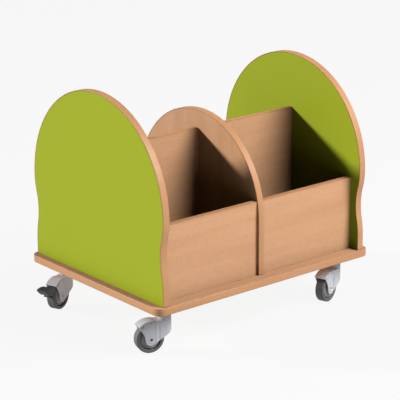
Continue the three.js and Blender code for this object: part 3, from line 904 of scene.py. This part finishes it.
form = bmesh.new()
form.from_mesh(worked(cheeks, jobs))
on_casters(form, "housing", "moulded", "swivel", "grey_plastic", housing_look, sharp=30)

# ---- casters: axles -------------------------------------------------------------------------------
# A short steel tube through both cheeks, its ends slightly flared. It stays still while the wheel turns.
def across_wheel(form):
    """Lays a form that was turned about the upright across the wheel, on the axle."""
    bmesh.ops.rotate(form, matrix=Matrix.Rotation(math.pi / 2, 3, "X"), verts=form.verts)
    bmesh.ops.translate(form, vec=axle_at, verts=form.verts)


def mirrored_ring(half):
    """A closed ring outline from one half of it, given as (radius, offset from the wheel's mid-plane)."""
    return half + [(radius, -offset) for radius, offset in reversed(half)]


axle_radius = 0.004
axle_bore = 0.0024
axle_half = cheek_half - 0.0003
form = bmesh.new()
lathe(form, mirrored_ring([(axle_bore, axle_half - 0.0012), (axle_bore + 0.0008, axle_half),
                           (axle_radius - 0.0004, axle_half), (axle_radius, axle_half - 0.0004)]),
      32, closed=True)
across_wheel(form)
on_casters(form, "axle", "tube", "swivel", "steel", plated("bright steel tube", (0.74, 0.74, 0.75), 0.18))

# ---- casters: bushes ------------------------------------------------------------------------------
# A dark nylon sleeve pressed into the hub. It runs on the axle, and its ends keep the wheel off the cheeks.
def moulded(name, colour, deep, rough, size=5.0, grain_scale=1800.0):
    """A moulded plastic or rubber: cloudy tone, scuffs, edges lightened partly as rubbed wear and partly as a
    painted highlight, and a fine moulded grain.
    """
    made, tree, skin = new_material(name)
    place = tree.nodes.new("ShaderNodeTexCoord")
    marks = place_group(tree, handling, Vector=place.outputs["Object"], Size=size)
    edge_wear_and_highlight = place_group(tree, worn_and_highlit_edges, Vector=place.outputs["Object"], Width=0.0006)
    shade = blend_colour(tree, marks["Clouds"], colour, deep)
    # Lighter arrises: partly rubbed wear, partly a painted highlight along the edges.
    rubbed_and_lit_edge = math_node(tree, "MULTIPLY", edge_wear_and_highlight["Wear_and_highlight"], 0.35)
    shade = blend_colour(tree, rubbed_and_lit_edge, shade, [min(1, 1.5 * c) for c in colour])
    tree.links.new(shade, skin.inputs["Base Color"])
    gloss = node(tree, "MapRange", Value=marks["Clouds"], From_Min=0.3, From_Max=0.7, To_Min=rough,
                 To_Max=rough + 0.12)
    dulled = math_node(tree, "MULTIPLY", marks["Scuffs"], 0.1)
    tree.links.new(math_node(tree, "ADD", gloss.outputs["Result"], dulled), skin.inputs["Roughness"])
    grain = node(tree, "TexNoise", {}, Vector=place.outputs["Object"], Scale=grain_scale, Detail=2.0)
    bump = node(tree, "Bump", Strength=0.15, Distance=0.0001, Height=grain.outputs["Fac"])
    tree.links.new(bump.outputs["Normal"], skin.inputs["Normal"])
    return made


bush_radius = 0.008
bush_half = well_half - 0.0006
form = bmesh.new()
lathe(form, mirrored_ring([(axle_radius + 0.0003, bush_half), (bush_radius, bush_half)]), 40, closed=True)
ease(form, 0.0004, 2, 60)
across_wheel(form)
on_casters(form, "bush", "sleeve", "wheel", "wheel_plastic",
           moulded("dark nylon sleeve", (0.10, 0.10, 0.105), (0.08, 0.08, 0.085), 0.4))

# ---- casters: wheel centres -----------------------------------------------------------------------
# Moulded in light grey plastic: a hub, a dished web and a narrow rim, set in from the tread on both sides.
hub_radius = 0.013
disc_radius = 0.0242
core_radius = 0.0277
hub_half = 0.0120
web_half = 0.0086
lip_half = 0.0102
groove_half = 0.0056
form = bmesh.new()
lathe(form, mirrored_ring([(bush_radius + 0.0003, hub_half), (hub_radius, hub_half),
                           (hub_radius + 0.0008, web_half), (disc_radius - 0.0020, web_half),
                           (disc_radius - 0.0014, lip_half), (disc_radius, lip_half),
                           (disc_radius + 0.0006, groove_half), (core_radius, groove_half)]),
      72, closed=True)
ease(form, 0.0005, 3, 40)
across_wheel(form)
on_casters(form, "wheel", "centre", "wheel", "wheel_plastic",
           moulded("pale grey wheel plastic", (0.400, 0.395, 0.405), (0.350, 0.345, 0.355), 0.42))

# ---- casters: treads ------------------------------------------------------------------------------
# Grey rubber moulded round the wheel centre, with round shoulders. A deep groove parts it from the disc.
tread_inner = 0.0280
tread_face = 0.0375
tread_half = 0.0125
form = bmesh.new()
lathe(form, mirrored_ring([(tread_inner, 0.0060), (tread_inner + 0.0009, tread_half - 0.0008),
                           (tread_inner + 0.0018, tread_half), (tread_face, tread_half)]), 96, closed=True)
form.normal_update()
shoulders = [e for e in form.edges if all(abs(v.co.to_2d().length - tread_face) < 1e-6 for v in e.verts)
             and abs(e.verts[0].co.z - e.verts[1].co.z) < 1e-6]
bmesh.ops.bevel(form, geom=shoulders, offset=0.0036, segments=6, profile=0.5, affect="EDGES", material=-1)
across_wheel(form)
tread_look = moulded("grey rubber", (0.150, 0.149, 0.151), (0.120, 0.119, 0.121), 0.62, 3.0, 900.0)
on_casters(form, "tread", "moulded", "wheel", "tread_rubber", tread_look)

# ---- casters: brake pedals ------------------------------------------------------------------------
# Dark grey nylon, on the rear casters only: an arched paddle to tread on, and behind it a curved shoe over
# the wheel. It turns on a pin through the cheeks, and its shoe presses on the tread when the paddle goes
# down.
pedal_half = well_half - 0.001
pedal_travel = math.radians(12)
pedal_swing = Matrix.Translation(pivot) @ Matrix.Rotation(-pedal_travel, 4, "Y") @ Matrix.Translation(-pivot)
lifted = pedal_swing @ axle_at


shoe_inner = tread_face + 0.001
shoe_outer = shoe_inner + 0.0032
shoe_end = math.radians(16)
shoe_top = math.radians(70.6)
paddle_root = math.radians(26)
paddle_neck = math.radians(54)
tip = axle_at + Vector((0.080, 0, 0.038))
tip_plate = 0.0022
arch_pull = 0.006
shoe_steps = 12
pedal_boss = 0.0032


form = bmesh.new()
first = form.verts.new(from_axle(shoe_inner, shoe_end, lifted))
vert = lead(form, first, from_axle(shoe_outer, shoe_end, lifted))
vert = arc(form, vert, shoe_end, paddle_root, shoe_steps, lifted)
root = vert.co.copy()
vert = curve(form, vert, Vector(((root.x + tip.x) / 2, 0, root.z)), tip - Vector((0, 0, tip_plate)))
vert = lead(form, vert, tip)
neck_point = from_axle(shoe_outer, paddle_neck, lifted)
vert = curve(form, vert, Vector(((neck_point.x + tip.x) / 2, 0, tip.z + arch_pull)), neck_point)
vert = arc(form, vert, paddle_neck, shoe_top, shoe_steps, lifted)
vert = lead(form, vert, from_axle(shoe_inner, shoe_top, lifted))
arc(form, vert, shoe_top, shoe_end, shoe_steps, lifted)
bmesh.ops.remove_doubles(form, verts=form.verts, dist=1e-6)
bmesh.ops.contextual_create(form, geom=form.edges[:])
thicken(form, form.faces[:], (0, 2 * pedal_half, 0))
bmesh.ops.translate(form, vec=(0, -pedal_half, 0), verts=form.verts)
ease(form, 0.0006, 3, 40)
pedal = tool(form)
jobs = [("UNION", tool(round_bar(pedal_boss, 2 * pedal_half, pivot, sides=40)))]
jobs.append(("DIFFERENCE", tool(round_bar(pivot_hole, right_through, pivot, sides=32))))
form = bmesh.new()
form.from_mesh(worked(pedal, jobs))
pedal_look = moulded("dark grey nylon", (0.075, 0.076, 0.080), (0.055, 0.056, 0.060), 0.40)
on_casters(form, "brake_pedal", "moulded", "pedal", "pedal_plastic", pedal_look, where=braked, sharp=30)

# ---- casters: pedal pins --------------------------------------------------------------------------
# A steel pin through both cheeks that the pedal turns on. Its ends are chamfered and sit flush.
pedal_pin_radius = 0.0015
form = round_bar(pedal_pin_radius, 2 * axle_half, pivot, sides=32)
ease(form, 0.0003, 2, 60)
on_casters(form, "pedal_pin", "turned", "swivel", "steel", steel_look, where=braked)
